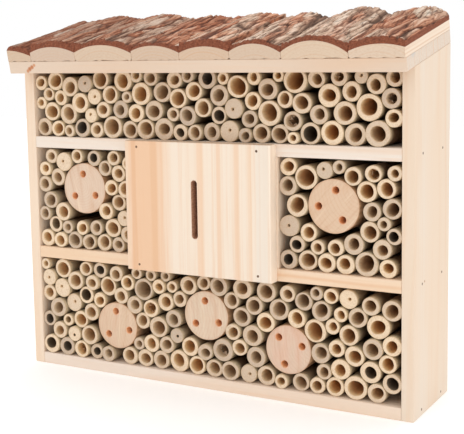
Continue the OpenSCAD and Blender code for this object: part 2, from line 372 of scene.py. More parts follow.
def timberFinish(name, along, seed, **changes):
    look = {**timber, **changes}
    f = Finish(name)
    grain, across, through = grainAxes(f, along)
    shift = seed * 3.7
    slow = f.vector(grain * 5 + shift, across * 20, through * 20 + shift)
    wander = (f.noise(slow, 1.0, 2.0) - 0.5) * look["wander"]
    sideways = across - look["heart"][0] + wander
    deep = through - look["heart"][1] + wander * 0.6
    years = (sideways * sideways + deep * deep) ** 0.5 / look["ring"]
    pulse = 1 - years.math("FRACT").awayFrom(0.5) * 2
    strong = f.field(years * 0.8 + shift, grain * 2.5, 0.0, 1.0).between(0.4, 0.68)
    late = pulse.between(0.4, 1.0) * (strong * 0.85 + 0.15)
    fibreSpace = f.vector(grain * 40, across * 800 + shift, through * 800)
    fibre = f.noise(fibreSpace, 1.0, 3.0, 0.7)
    thread = f.field(grain * 9, across * 300 + shift, through * 300, 2.0, 0.6)
    warm = f.field(grain * 3 + shift, across * 26 + shift, through * 14, 2.0)
    colour = f.stained(
        look["light"], (warm.between(0.35, 0.7) * look["warmth"], look["warm"]),
        (late * look["contrast"], look["late"]), (thread.between(0.5, 0.8) * 0.3, look["late"]))
    for middle, width, share, stain in look["streaks"]:
        away = (across + wander * 0.4).awayFrom(middle)
        soft = (thread - 0.5) * width * 0.8
        colour = f.mix((1 - (away + soft).between(width * 0.35, width)) * share, colour, stain)
    ends = endMask(f, along)
    saw = f.field(grain, across * 400 + wander * 300, through * 1500, 2.0, 0.6)
    endColour = f.mix(late * 0.5, look["endTone"], look["late"])
    endColour = f.mix(saw.between(0.4, 0.75) * 0.3, endColour, look["sawn"])
    colour = f.mix(ends, colour, endColour)
    for middle, size, stain in look["spots"]:
        offset = f.node("VectorMath", {"operation": "DISTANCE"}, [f.place(), middle], out="Value")
        ragged = f.noise(fibreSpace, 0.4, 2.0) * size * 0.5
        colour = f.mix(1 - (offset + ragged).between(size * 0.7, size * 1.5), colour, stain)
    relief = f.mix(ends, fibre * 0.6 + late * 0.4 + thread * 0.5, saw)
    rough = look["roughness"] + fibre * 0.12 + ends * 0.15
    return f.surface(colour, rough, 0.3, {"Normal": f.bump(relief, 0.25 * mm, 0.45)})


caseBoards = {
    "left_side": {"along": "Z", "seed": 1, "heart": (-0.21, 0.02), "warmth": 0.25, "contrast": 0.4},
    "right_side": {
        "along": "Z", "seed": 2, "heart": (0.29, -0.015), "warmth": 0.45, "contrast": 0.45, "ring": 9 * mm,
        "wander": 20 * mm, "light": tone(228, 215, 200), "late": tone(227, 194, 162),
        "spots": [
            ((0.2, 0.018, 0.318), 1.6 * mm, tone(168, 128, 98)),
            ((0.2, -0.02, 0.115), 1.2 * mm, tone(186, 146, 112)),
        ],
    },
    "bottom_board": {
        "along": "X", "seed": 3, "heart": (-0.16, 0.03), "warmth": 0.35, "contrast": 0.4,
        "light": tone(232, 214, 198),
    },
    "lower_shelf": {
        "along": "X", "seed": 4, "heart": (-0.12, 0.16), "warmth": 0.8, "light": tone(236, 212, 188),
    },
    "upper_shelf": {
        "along": "X", "seed": 5, "heart": (-0.15, 0.20), "warmth": 0.05, "contrast": 0.3,
        "light": tone(232, 218, 204),
    },
    "left_divider": {"along": "Z", "seed": 6, "heart": (-0.09, 0.05)},
    "right_divider": {"along": "Z", "seed": 7, "heart": (0.1, 0.05)},
}
easedEdge = 0.7 * mm


def makeCase():
    for node, look in caseBoards.items():
        finish = timberFinish(node + "Pine", **look)
        mesh = roundedHull(node, nodePoints(node), easedEdge)
        addPiece("case." + node, mesh, [finish], node)


roofBoard = {
    "along": "X", "seed": 9, "heart": (0.1, 0.34), "warmth": 0.6, "contrast": 0.5, "ring": 6 * mm,
    "light": tone(221, 200, 180), "warm": tone(212, 180, 152), "endTone": tone(222, 206, 190),
    "spots": [
        # the first spot is painted shade: a grey patch on the board's right end near its front
        ((0.2, -0.052, 0.309), 7.0 * mm, tone(204, 196, 188)),
        ((-0.1778, -0.0672, 0.2932), 1.9 * mm, tone(196, 136, 96)),
        ((-0.1752, -0.0675, 0.2950), 2.3 * mm, tone(186, 118, 78)),
        ((-0.1722, -0.0679, 0.2968), 2.2 * mm, tone(190, 124, 84)),
        ((-0.1692, -0.0682, 0.2986), 1.6 * mm, tone(204, 146, 108)),
    ],
}


def makeRoofBoard():
    finish = timberFinish("roofBoardPine", **roofBoard)
    mesh = roundedHull("roofBoard", nodePoints("roof_board"), easedEdge)
    addPiece("roofBoard", mesh, [finish], "roof_board")


backPanel = {
    "along": "X", "seed": 11, "heart": (0.3, 0.1), "ring": 9 * mm, "contrast": 0.45, "warmth": 0.5,
    "light": tone(226, 204, 174), "late": tone(204, 162, 120), "warm": tone(222, 192, 156),
    "wander": 26 * mm,
}


def dressBackPanel():
    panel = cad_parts["back_panel"]
    panel.data.materials.clear()
    panel.data.materials.append(timberFinish("backPanelPly", **backPanel))


frontPanel = {
    "look": {
        "along": "Z", "seed": 21, "heart": (-0.045, -0.13), "ring": 3.6 * mm, "warmth": 0.2,
        "contrast": 0.3, "wander": 5 * mm, "light": tone(236, 219, 200), "streaks": [
            (-0.053, 0.031, 0.85, tone(230, 187, 150)), (-0.066, 0.004, 0.5, tone(221, 171, 131)),
            (-0.044, 0.005, 0.35, tone(220, 171, 129)), (0.005, 0.005, 0.6, tone(232, 192, 157)),
            (0.024, 0.0035, 0.6, tone(230, 191, 157)), (0.042, 0.004, 0.55, tone(230, 190, 155)),
            (0.055, 0.003, 0.45, tone(230, 193, 159)), (0.067, 0.009, 0.4, tone(226, 217, 205)),
            # the last streak is painted light: a pale band over the panel's right side face and the edge
            # of its front, lighter than the grain, where that face is less lit
            (0.0765, 0.0033, 1.0, tone(254, 236, 216)),
        ],
    },
    # the slot's two tones are painted shade
    "slotPaintedShade": tone(206, 158, 126), "slotDark": tone(164, 118, 92), "slotWidth": 6 * mm,
    "slotLength": 53 * mm, "slotX": -1.5 * mm, "rounding": 0.8 * mm, "endSteps": 10,
}


def slotOutline(width, length, middle, steps):
    straight = (length - width) / 2
    loop = []
    for side in (1, -1):
        for i in range(steps + 1):
            angle = math.pi * i / steps + (0 if side > 0 else math.pi)
            up = side * straight + width / 2 * math.sin(angle)
            loop.append((middle + width / 2 * math.cos(angle), up))
    return np.array(loop)


def slotFinish():
    # the sawn wall of the slot, in painted shade: its saw marks mix two tones darker than the bare grain,
    # as the slot's shadowed inside looks
    f = Finish("slotWall")
    x, y, z = f.axes(f.place())
    sawn = f.field(x * 300, y * 300, z * 1400, 2.0, 0.6)
    colour = f.mix(sawn.between(0.3, 0.75), frontPanel["slotPaintedShade"], frontPanel["slotDark"])
    return f.surface(colour, 0.8 + sawn * 0.1, 0.2, {"Normal": f.bump(sawn, 0.3 * mm, 0.6)})


def makeFrontPanel():
    low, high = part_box("front_panel")
    middle, half = (low + high) / 2, (high - low) / 2
    corners = [(-1, -1), (1, -1), (1, 1), (-1, 1)]
    outline = np.array([(half.x * across, half.z * up) for across, up in corners])
    wide, tall, slotX = frontPanel["slotWidth"], frontPanel["slotLength"], frontPanel["slotX"]
    slot = slotOutline(wide, tall, slotX, frontPanel["endSteps"])
    mesh = cutPlate("frontPanel", outline, [slot], high.y - low.y, frontPanel["rounding"])
    standUp(mesh, middle.x, low.y, middle.z)
    for face in mesh.polygons:
        awayX, awayZ = abs(face.center.x - middle.x - slotX), abs(face.center.z - middle.z)
        if abs(face.normal.y) < 0.3 and awayX < wide * 0.7 and awayZ < tall * 0.6:
            face.material_index = 1
    finishes = [timberFinish("frontPanelPine", **frontPanel["look"]), slotFinish()]
    addPiece("frontPanel", mesh, finishes, "front_panel")


# drilled logs

# heart and ring in millimetres
logs = {
    "log_1": {"heart": (-4, 2), "light": tone(220, 196, 174), "ring": 2.6, "angle": 0.15, "blush": 0.1},
    "log_2": {"heart": (26, 16), "light": tone(218, 189, 161), "ring": 3.4, "angle": -0.75, "blush": 0.1},
    "log_3": {"heart": (30, -5), "light": tone(218, 191, 164), "ring": 3.0, "angle": -0.05, "blush": 0.3},
    "log_4": {"heart": (-32, -3), "light": tone(220, 198, 174), "ring": 3.2, "angle": 0.05, "blush": 0.2},
    "log_5": {"heart": (28, 9), "light": tone(218, 192, 170), "ring": 3.0, "angle": 0.1, "blush": 0.65},
}
logShape = {
    "points": 72, "wobble": 0.010, "rounding": 0.5 * mm, "holes": 3, "holeSteps": 20, "firstSeed": 31,
    "late": tone(206, 160, 124), "broad": tone(208, 168, 134), "sawn": tone(196, 154, 120),
    "stripe": tone(202, 162, 130), "pale": tone(240, 218, 192), "pores": tone(170, 128, 98),
    "blush": tone(230, 176, 156), "rim": tone(196, 150, 112), "burr": tone(222, 160, 122),
    "skin": [(0.3, tone(168, 124, 88)), (0.7, tone(214, 172, 132))],
    "hole": [(0.3, tone(232, 164, 112)), (0.7, tone(248, 204, 158))], "paintedShadeHole": tone(206, 140, 92),
}


def logFinish(name, centre, look):
    f = Finish(name)
    x, y, z = f.axes(f.place())
    across, up = x - centre[0], z - centre[1]
    lumpy = f.noise(f.vector(across, y * 0.2, up), 120.0, 3.0)
    heartX = across - look["heart"][0] * mm
    heartZ = up - look["heart"][1] * mm
    years = (heartX * heartX + heartZ * heartZ) ** 0.5 / (look["ring"] * mm) + lumpy * 1.1
    late = 1 - years.math("FRACT").awayFrom(0.5) * 2
    cos, sin = math.cos(look["angle"]), math.sin(look["angle"])
    sawAcross, sawAlong = across * cos + up * sin, up * cos - across * sin
    saw = f.field(sawAcross * 900, sawAlong * 70, y * 60, 3.0, 0.65)
    pores = f.field(sawAcross * 1500, sawAlong * 700, y, 2.0, 0.7)
    broad = f.field(sawAcross * 70 + look["seed"], sawAlong * 20, 0.0, 2.0)
    stripe = f.field(sawAcross * 160 + look["seed"] * 3, sawAlong * 9, 0.0, 3.0, 0.6)
    reach = (across * across + up * up) ** 0.5
    face = f.stained(
        look["light"], (late.between(0.5, 1.0) * 0.22, logShape["late"]),
        (broad.between(0.5, 0.75) * 0.4, logShape["broad"]),
        (saw.between(0.5, 0.8) * 0.5, logShape["sawn"]),
        (stripe.between(0.52, 0.7) * 0.45, logShape["stripe"]),
        ((1 - stripe.between(0.3, 0.42)) * 0.5, logShape["pale"]),
        (pores.between(0.6, 0.85) * 0.3, logShape["pores"]),
        (broad.between(0.35, 0.6) * look["blush"] * 0.35, logShape["blush"]),
        (reach.between(look["radius"] * 0.9, look["radius"]) * 0.3, logShape["rim"]))
    skinNoise = f.field(across * 300, y * 30, up * 300, 3.0)
    skin, hole = f.ramp(skinNoise, logShape["skin"]), f.ramp(skinNoise, logShape["hole"])
    # the hole walls turn darker deeper in: painted shade
    holeDepth = (y - centre[2]).between(2 * mm, 24 * mm)
    hole = f.mix(holeDepth, hole, logShape["paintedShadeHole"])
    flat = f.axes(f.node("NewGeometry", out="True Normal"))[1].math("ABSOLUTE").between(0.3, 0.8)
    inside = 1 - reach.between(look["radius"] * 0.86, look["radius"] * 0.9)
    colour = f.mix(flat, f.mix(inside, skin, hole), face)
    for holeX, holeZ, holeRadius in look["holes"]:
        awayX, awayZ = across - holeX, up - holeZ
        away = (awayX * awayX + awayZ * awayZ) ** 0.5
        burr = 1 - (away + (lumpy - 0.5) * 1.5 * mm).between(holeRadius, holeRadius * 1.35)
        colour = f.mix(burr * flat * 0.55, colour, logShape["burr"])
    normal = f.bump(saw * 0.8 + pores * 0.5, 0.3 * mm, 0.55)
    return f.surface(colour, 0.72 + saw * 0.15, 0.25, {"Normal": normal})


def holesIn(points, centre, radius):
    # each drilled hole's place from the log's middle and its radius: the points inside the rim fall
    # into one group for each hole, parted by the widest gaps in angle
    inner = points[np.hypot(points[:, 0] - centre[0], points[:, 2] - centre[2]) < radius * 0.95]
    angles = np.arctan2(inner[:, 2] - centre[2], inner[:, 0] - centre[0])
    order = np.sort(angles)
    gaps = np.diff(np.append(order, order[0] + 2 * math.pi))
    edges = sorted(order[(np.argsort(gaps)[-logShape["holes"]:] + 1) % len(order)])
    holes = []
    for edge, nextEdge in zip(edges, [*edges[1:], edges[0] + 2 * math.pi]):
        chosen = inner[((angles - edge) % (2 * math.pi)) < (nextEdge - edge - 1e-9)]
        low, high = chosen.min(0), chosen.max(0)
        middle = (low + high) / 2 - centre
        holes.append((middle[0], middle[2], (high[0] - low[0]) / 2))
    return holes


def makeLogs():
    turn, ring = fullTurn(logShape["points"]), fullTurn(logShape["holeSteps"])
    for number, (node, look) in enumerate(logs.items()):
        seed = logShape["firstSeed"] + number
        points = nodePoints(node)
        low, high = points.min(0), points.max(0)
        centre, radius = (low + high) / 2, (high[0] - low[0]) / 2
        holes = holesIn(points, centre, radius)
        bend = 1 + logShape["wobble"] * (turnNoise(turn, 1.5, seed) - 0.2)
        outline = np.column_stack([np.cos(turn), np.sin(turn)]) * radius * bend[:, None]
        loops = []
        for x, z, reach in holes:
            loops.append(np.column_stack([x + reach * np.cos(ring), z + reach * np.sin(ring)]))
        mesh = cutPlate(node, outline, loops, high[1] - low[1], logShape["rounding"])
        standUp(mesh, centre[0], low[1], centre[2])
        place = (centre[0], centre[2], low[1])
        finish = logFinish(node + "Wood", place, {**look, "seed": seed, "radius": radius, "holes": holes})
        addPiece("drilledLog." + node[-1], mesh, [finish], node)


# bamboo canes

cane = {
    "sides": 32, "oval": 0.07, "boreOval": 0.09, "wobble": 0.02, "offCentre": 0.05, "tilt": 0.03,
    "lip": 0.22 * mm, "cutRough": 0.12 * mm, "ridgeChance": 0.35, "ridge": 0.2 * mm, "membraneEvery": 26,
    "membraneDepth": 8 * mm, "tearLean": -0.8 * mm, "firstSeed": 100,
}
caneTones = {
    "skin": [tone(218, 194, 156), tone(200, 180, 148)], "pale": tone(228, 210, 178),
    "green": tone(174, 164, 118), "streak": tone(160, 124, 86), "paintedShadeSkin": tone(112, 86, 62),
    "cut": [(0.0, tone(236, 212, 182)), (0.35, tone(228, 205, 178)), (0.7, tone(214, 192, 168)),
            (1.0, tone(199, 179, 159))],
    "dots": tone(180, 140, 98), "grainy": tone(188, 154, 118), "cutRim": tone(186, 156, 112),
    "cutInside": tone(206, 164, 112),
    "mouth": [tone(230, 198, 150), tone(212, 190, 160)], "mouthStreak": tone(184, 138, 94),
    "near": [tone(222, 172, 116), tone(196, 166, 134)], "far": [tone(216, 156, 98), tone(176, 142, 110)],
    "end": tone(176, 128, 88), "dark": tone(66, 56, 50),
}


def caneSkinFinish():
    f = Finish("caneSkin")
    x, y, z = f.axes(f.place())
    tint, _, deep = f.axes(f.attribute("cane"))
    streak = f.field(x * 700, y * 14, z * 700, 3.0, 0.6)
    blotch = f.field(x * 60, y * 25, z * 60, 2.0)
    # the last stain is painted shade: the skin turns dark brown the further it lies behind the cut front,
    # between the canes
    colour = f.stained(
        f.mix(tint, *caneTones["skin"]), (streak.between(0.35, 0.7) * 0.5, caneTones["pale"]),
        (blotch.between(0.62, 0.8) * 0.5, caneTones["green"]),
        (streak.between(0.55, 0.8) * 0.35, caneTones["streak"]),
        (deep.between(0.0, 0.45), caneTones["paintedShadeSkin"]))
    return f.surface(colour, 0.42 + streak * 0.2, 0.45, {"Normal": f.bump(streak, 0.15 * mm, 0.35)})


def caneCutFinish():
    f = Finish("caneCut")
    x, y, z = f.axes(f.place())
    tint, across, _ = f.axes(f.attribute("cane"))
    fibres = f.cells(f.vector(x, y * 0.2, z), 1400.0)
    grainy = f.noise(f.vector(x, y * 0.3, z), 700.0, 3.0, 0.65)
    dots = (1 - fibres.between(0.15, 0.45)) * (1 - across * 0.7)
    colour = f.stained(
        f.ramp(tint, caneTones["cut"]), (dots * 0.4, caneTones["dots"]),
        (grainy.between(0.45, 0.75) * 0.5, caneTones["grainy"]),
        ((1 - across.between(0.0, 0.25)) * 0.45, caneTones["cutRim"]),
        (across.between(0.75, 1.0) * 0.35, caneTones["cutInside"]))
    normal = f.bump(grainy + fibres * 0.5, 0.25 * mm, 0.6)
    return f.surface(colour, 0.75 + grainy * 0.12, 0.25, {"Normal": normal})


def caneBoreFinish():
    f = Finish("caneBore")
    x, y, z = f.axes(f.place())
    tint, _, deep = f.axes(f.attribute("cane"))
    dark = f.node("Attribute", {"attribute_name": "cane"}, out="Alpha")
    streak = f.field(x * 500, y * 20, z * 500, 3.0, 0.65)
    mouth = f.mix(tint, *caneTones["mouth"])
    mouth = f.mix(streak.between(0.45, 0.8) * 0.4, mouth, caneTones["mouthStreak"])
    # from the mouth inwards the bore turns orange-brown and darker: partly the cane's own inner tone,
    # partly painted shade deep in the bore
    colour = f.stained(
        mouth, (deep.between(0.0, 0.2), f.mix(tint, *caneTones["near"])),
        (deep.between(0.2, 0.6), f.mix(tint, *caneTones["far"])),
        (deep.between(0.5, 1.0), caneTones["end"]), (dark.between(0.9, 0.94) * 0.8, caneTones["dark"]))
    return f.surface(colour, 0.7 + streak * 0.15, 0.25, {"Normal": f.bump(streak, 0.25 * mm, 0.5)})


def addCane(parts, solid, chance, marked):
    # rings of points from the back of the skin round the cut front edge and down the bore
    low, high = solid.min(0), solid.max(0)
    centre, radius = (low + high) / 2, (high[0] - low[0]) / 2
    bore = np.hypot(solid[:, 0] - centre[0], solid[:, 2] - centre[2]).min()
    front, back = low[1], high[1]
    sides = cane["sides"]
    turn = fullTurn(sides)
    seed = chance.uniform(0, 50)
    rough, roughIn = turnNoise(turn, 1.3, seed), turnNoise(turn, 1.6, seed + 9)
    jag = turnNoise(turn, 5, seed + 20)
    squeeze = cane["oval"] * chance.uniform(0, 1) ** 2 * (0.5 - 0.5 * np.cos(2 * (turn - seed)))
    outer = radius * (1.004 - squeeze + cane["wobble"] * (rough - 0.25))
    oval = cane["boreOval"] * chance.uniform(-1, 1) * np.cos(2 * (turn - seed * 2))
    inner = bore * (1 + oval + cane["wobble"] * 2.2 * roughIn)
    shift = (radius - bore) * chance.uniform(-1, 1, 2) * cane["offCentre"] * 4
    tiltX, tiltZ = chance.uniform(-1, 1, 2) * cane["tilt"]
    ridge = cane["ridge"] if chance.random() < cane["ridgeChance"] else 0.0
    joint = front + (back - front) * chance.uniform(0.22, 0.85)
    lip = min(cane["lip"], (radius - bore) * 0.2)
    # each ring: what it follows, how far it stands off that, its place from front to back, its
    # finish, how far it lies across the cut face and how deep it lies
    rings = [
        ("out", 0.0, back, 0, 0.0, 1.0), ("out", 0.0, joint + 4 * mm, 0, 0.0, 1.0),
        ("out", ridge, joint + 1.2 * mm, 0, 0.0, 0.8), ("out", -ridge * 0.6, joint, 0, 0.0, 0.8),
        ("out", ridge * 0.7, joint - 1.0 * mm, 0, 0.0, 0.8), ("out", 0.0, joint - 4 * mm, 0, 0.0, 0.7),
        ("out", 0.0, front + 5 * mm, 0, 0.0, 0.2), ("out", 0.0, front + 0.8 * mm, 0, 0.0, 0.0),
        ("out", -lip * 0.35, front + 0.2 * mm, 1, 0.0, 0.0), ("out", -lip, front, 1, 0.08, 0.0),
        ("mid", 0.5, front, 1, 0.5, 0.0), ("in", lip, front, 1, 0.94, 0.0),
        ("in", 0.0, front + 0.35 * mm, 2, 1.0, 0.0), ("in", 0.0, front + 3 * mm, 2, 1.0, 0.05),
        ("in", -0.02 * bore, front + 11 * mm, 2, 1.0, 0.2),
        ("in", -0.04 * bore, front + 32 * mm, 2, 1.0, 0.6), ("in", 0.0, back, 2, 1.0, 1.0),
    ]
    tint, dark = chance.random(), chance.random()
    cos, sin = np.cos(turn), np.sin(turn)
    first = len(parts["points"])
    for where, away, y, _, across, deep in rings:
        if where == "out":
            reach, dx, dz = outer + away, 0.0, 0.0
        elif where == "in":
            reach, dx, dz = inner + away, shift[0], shift[1]
        else:
            reach, dx, dz = (outer - lip + inner + lip) / 2, shift[0] / 2, shift[1] / 2
        px, pz = dx + reach * cos, dz + reach * sin
        near = 1.0 if y < front + 4 * mm else 0.0
        tilted = tiltX * px + tiltZ * pz + abs(tiltX) * radius + abs(tiltZ) * radius
        py = y + near * (tilted + cane["cutRough"] * (jag + 0.5))
        parts["points"].extend(np.column_stack([centre[0] + px, py, centre[2] + pz]).tolist())
        parts["colours"].extend([(tint, across, deep, dark)] * sides)
    count = len(rings)
    for j in range(count):
        after = (j + 1) % count
        parts["faces"].extend(bandFaces(first + j * sides, first + after * sides, sides))
        parts["finish"].extend([rings[j][3] if after else 1] * sides)
    if marked and bore > 3 * mm:
        depth = front + cane["membraneDepth"]
        addMembrane(parts, centre, inner * 1.01, shift, depth, (tint, dark), chance)


def addMembrane(parts, centre, reach, shift, y, shades, chance):
    # the torn wall across a cane's joint
    sides, lean = cane["sides"], cane["tearLean"]
    turn = fullTurn(sides)
    tear = np.clip(0.75 + 0.3 * chance.standard_normal(sides), 0.3, 0.97)
    tear = (tear + np.roll(tear, 1) * 0.7) / 1.7
    first = len(parts["points"])
    rings = [(np.ones(sides), 0.0), (0.5 + tear / 2, lean), (tear, lean * 2)]
    for share, forward in rings:
        px, pz = shift[0] + reach * share * np.cos(turn), shift[1] + reach * share * np.sin(turn)
        py = y + forward + chance.uniform(-0.4, 0.4, sides) * mm
        parts["points"].extend(np.column_stack([centre[0] + px, py, centre[2] + pz]).tolist())
        parts["colours"].extend([(shades[0], 0.6, 0.0, shades[1])] * sides)
    for j in range(len(rings) - 1):
        parts["faces"].extend(bandFaces(first + j * sides, first + (j + 1) * sides, sides))
        parts["finish"].extend([1] * sides)


def makeCanes():
    finishes = [caneSkinFinish(), caneCutFinish(), caneBoreFinish()]
    total = 0
    for number, node in enumerate(n for n in nodeNames if "_tubes_" in n):
        chance = np.random.default_rng(cane["firstSeed"] + number)
        parts = {"points": [], "faces": [], "finish": [], "colours": []}
        for solid in loosePieces(node):
            total += 1
            addCane(parts, solid, chance, total % cane["membraneEvery"] == 3)
        colours = {"cane": parts["colours"]}
        mesh = buildMesh(node, parts["points"], parts["faces"], parts["finish"], colours)
        addPiece("canes." + node, mesh, finishes, node, sharpAngle=50)
    return total


# roof slabs and their bark

slabs = {
    "ring": 2.6 * mm, "heartBelow": 12 * mm, "late": tone(206, 160, 122), "gap": 0.8 * mm,
    "squareToe": 0.1 * mm, "crownPoints": 25, "floorPoints": 15, "firstSeed": 300,
    "tones": [tone(206, 182, 158), tone(206, 183, 163), tone(210, 187, 164), tone(206, 182, 160),
              tone(208, 182, 158), tone(208, 185, 163), tone(214, 191, 167), tone(216, 194, 172)],
}
lastSlab = len(slabs["tones"]) - 1
bark = {
    "step": 0.85 * mm, "base": 4.8 * mm, "thin": 0.85, "valley": 0.5, "valleyWidth": 8 * mm, "plate": 0.7,
    "smallPlate": 0.3, "furrow": 0.5, "smallFurrow": 0.25, "thread": 0.6, "fine": 0.4, "swell": 1.4,
    "fissure": 0.7, "longFissure": 1.1, "rise": 3.2 * mm, "wornEdge": 9 * mm, "thinnest": 0.8 * mm,
    "bevel": 3.2 * mm, "leaning": 0.6, "cutRows": 5, "bite": 0.1 * mm,
    "greyness": [0.1, 0.3, 0.35, 0.45, 0.4, 0.65, 0.85, 0.4],
    "thick": [1.0, 1.3, 1.1, 0.7, 1.4, 0.75, 1.0, 1.35],
    "shade": [0.55, 0.4, 0.25, 0.15, 0.0, 0.0, 0.0, 0.1],
}
barkTones = {
    "brown": [(0.0, tone(64, 40, 32)), (0.15, tone(124, 74, 54)), (0.38, tone(186, 124, 92)),
              (0.65, tone(218, 162, 130)), (1.0, tone(242, 206, 180))],
    "grey": [(0.0, tone(78, 58, 48)), (0.15, tone(150, 118, 98)), (0.38, tone(204, 172, 148)),
             (0.65, tone(228, 200, 178)), (1.0, tone(244, 226, 208))],
    "cut": [(0.3, tone(106, 60, 44)), (0.5, tone(132, 76, 54)), (0.75, tone(156, 96, 70))],
    "flake": tone(160, 84, 56), "lichen": tone(180, 166, 138), "speck": tone(84, 56, 44),
    "crack": tone(64, 42, 34), "shade": tone(96, 52, 36),
}


def woodProfile(node):
    # a slab's section, from the frame: places across and heights over the roof board of its top
    # edge, its underside's height, and where it starts and ends along the slope
    local = toRoof(nodePoints(node))
    floor = local[:, 2].min()
    atFront = local[:, 1] < local[:, 1].min() + 0.1 * mm
    top = local[atFront & (local[:, 2] > floor + 0.5 * mm)]
    xs = np.unique(np.round(top[:, 0], 5))
    hs = np.array([top[np.abs(top[:, 0] - x) < 1e-5, 2].max() for x in xs])
    return xs, hs, floor, local[:, 1].min(), local[:, 1].max()


def makeSlabs():
    for i, sawn in enumerate(slabs["tones"]):
        node = f"roof_slab_{i + 1}"
        xs, hs, floor, front, back = woodProfile(node)
        left, right = xs[0], xs[-1]
        across = np.linspace(left, right, slabs["crownPoints"])
        heights = np.interp(across, xs, hs)
        chance = np.random.default_rng(slabs["firstSeed"] + i)
        toe = chance.uniform(0.3, 1.6, 2) * mm
        if i == 0:
            toe[0] = slabs["squareToe"]
        if i == lastSlab:
            toe[1] = slabs["squareToe"]
        outline = [(left + toe[0] * 1.5, floor), (left, floor + toe[0])]
        outline += list(zip(across, heights))
        outline += [(right, floor + toe[1]), (right - toe[1] * 1.5, floor)]
        for share in np.linspace(0.93, 0.07, slabs["floorPoints"]):
            lifted = slabs["gap"] * chance.uniform(0, 1) ** 2
            outline.append((left + (right - left) * share, floor + lifted))
        ring = np.array(outline)
        count = len(ring)
        ends = [np.column_stack([ring[:, 0], np.full(count, u), ring[:, 1]]) for u in (front, back)]
        points = fromRoof(np.vstack(ends))
        faces = [tuple(range(count)), tuple(reversed(range(count, 2 * count)))]
        for a in range(count):
            b = (a + 1) % count
            faces.append((a, a + count, b + count, b))
        heart = (left + right) / 2, heights.max() - (right - left) * 0.62 - slabs["heartBelow"]
        finish = timberFinish(
            f"slabWood{i + 1}", "slope", 40 + i, heart=heart, ring=slabs["ring"], wander=4 * mm,
            endTone=sawn, contrast=0.8, late=slabs["late"])
        mesh = buildMesh(node, points, faces)
        addPiece(f"slabWood.{i + 1}", mesh, [finish], node, sharpAngle=40)


def barkFinish(name, grey, shade, seed):
    f = Finish(name)
    slope, across, over = grainAxes(f, "slope")
    height, section, tint = f.axes(f.attribute("bark"))
    scaly = f.field(slope * 60 + seed, across * 260, over * 120, 3.0, 0.6)
    patches = f.field(slope * 18, across * 50 + seed, over * 40, 2.0)
    speck = f.field(slope * 500, across * 900, over * 900, 2.0, 0.7)
    greyed = (tint * 0.5 + patches * 0.9).between(0.85 - grey * 0.7, 1.25 - grey * 0.7)
    flakes = (1 - tint.between(0.15, 0.35)) * height.between(0.15, 0.35) * scaly.between(0.35, 0.6)
    lichen = patches.between(0.58, 0.72) * height.between(0.45, 0.7)
    crease = f.field(slope * 26 + seed, across * 330, over * 60, 2.0)
    crack = (1 - crease.awayFrom(0.5) / 0.035).clamped()
    cutNoise = f.field(slope * 300, across * 500, over * 900, 3.0, 0.6)
    sawn = (section + (scaly - 0.5) * 0.6).between(0.35, 0.65)
    # the ramps darken the bark the lower it lies in its plate, and the crack lines darken its creases:
    # partly the darker inner bark, partly painted shade in the furrows and cracks
    colour = f.stained(
        f.ramp(height, barkTones["brown"]), (greyed, f.ramp(height, barkTones["grey"])),
        (flakes * (0.6 - grey * 0.35), barkTones["flake"]), (lichen * 0.3, barkTones["lichen"]),
        (speck.between(0.5, 0.8) * 0.35, barkTones["speck"]), (crack * 0.7, barkTones["crack"]),
        (shade, barkTones["shade"]), (sawn, f.ramp(cutNoise, barkTones["cut"])))
    normal = f.bump(scaly * 0.6 + speck * 0.6 - crack * 0.8, 0.5 * mm, 0.7)
    return f.surface(colour, 0.82 + speck * 0.1, 0.2, {"Normal": normal})


def unit(values):
    return np.clip(values, 0, 1)


def chanceAt(a, b, seed, acrossA, acrossB, stretch):
    # a share from 0 to 1 that looks random, for each place on a grid
    value = np.sin(a * acrossA + b * acrossB + seed) * stretch
    return value - np.floor(value)


def smoothNoise(u, v, seed):
    # a chance value at each corner of a grid, blended smoothly, for whole arrays at once
    cellU, cellV = np.floor(u), np.floor(v)
    fu, fv = u - cellU, v - cellV
    fu, fv = fu * fu * (3 - 2 * fu), fv * fv * (3 - 2 * fv)

    def corner(a, b):
        return chanceAt(cellU + a, cellV + b, seed * 74.7, 127.1, 311.7, 43758.5453)

    low = corner(0, 0) * (1 - fu) + corner(1, 0) * fu
    high = corner(0, 1) * (1 - fu) + corner(1, 1) * fu
    return low * (1 - fv) + high * fv


def plates(u, v, seed):
    # jagged scales: each cell has a level of its own, and the second value falls to 0 at its edge
    cellU, cellV = np.floor(u), np.floor(v)
    nearest = np.full(u.shape, 9.0)
    second = np.full(u.shape, 9.0)
    level = np.zeros(u.shape)
    for du in (-1, 0, 1):
        for dv in (-1, 0, 1):
            a, b = cellU + du, cellV + dv
            middleU = a + chanceAt(a, b, seed, 91.7, 37.3, 24634.63)
            middleV = b + chanceAt(a, b, seed * 2, 53.1, 117.9, 35412.31)
            gap = np.hypot(middleU - u, middleV - v)
            closer = gap < nearest
            second = np.where(closer, nearest, np.minimum(second, gap))
            level = np.where(closer, chanceAt(a, b, seed * 3, 17.9, 71.3, 19127.77), level)
            nearest = np.minimum(nearest, gap)
    return level, unit((second - nearest) * 3.5)


def lines(u, v, seed, width):
    # thin wandering lines, where a smooth field crosses its middle value
    return unit(1.3 - np.abs(smoothNoise(u, v, seed) - 0.5) / width)


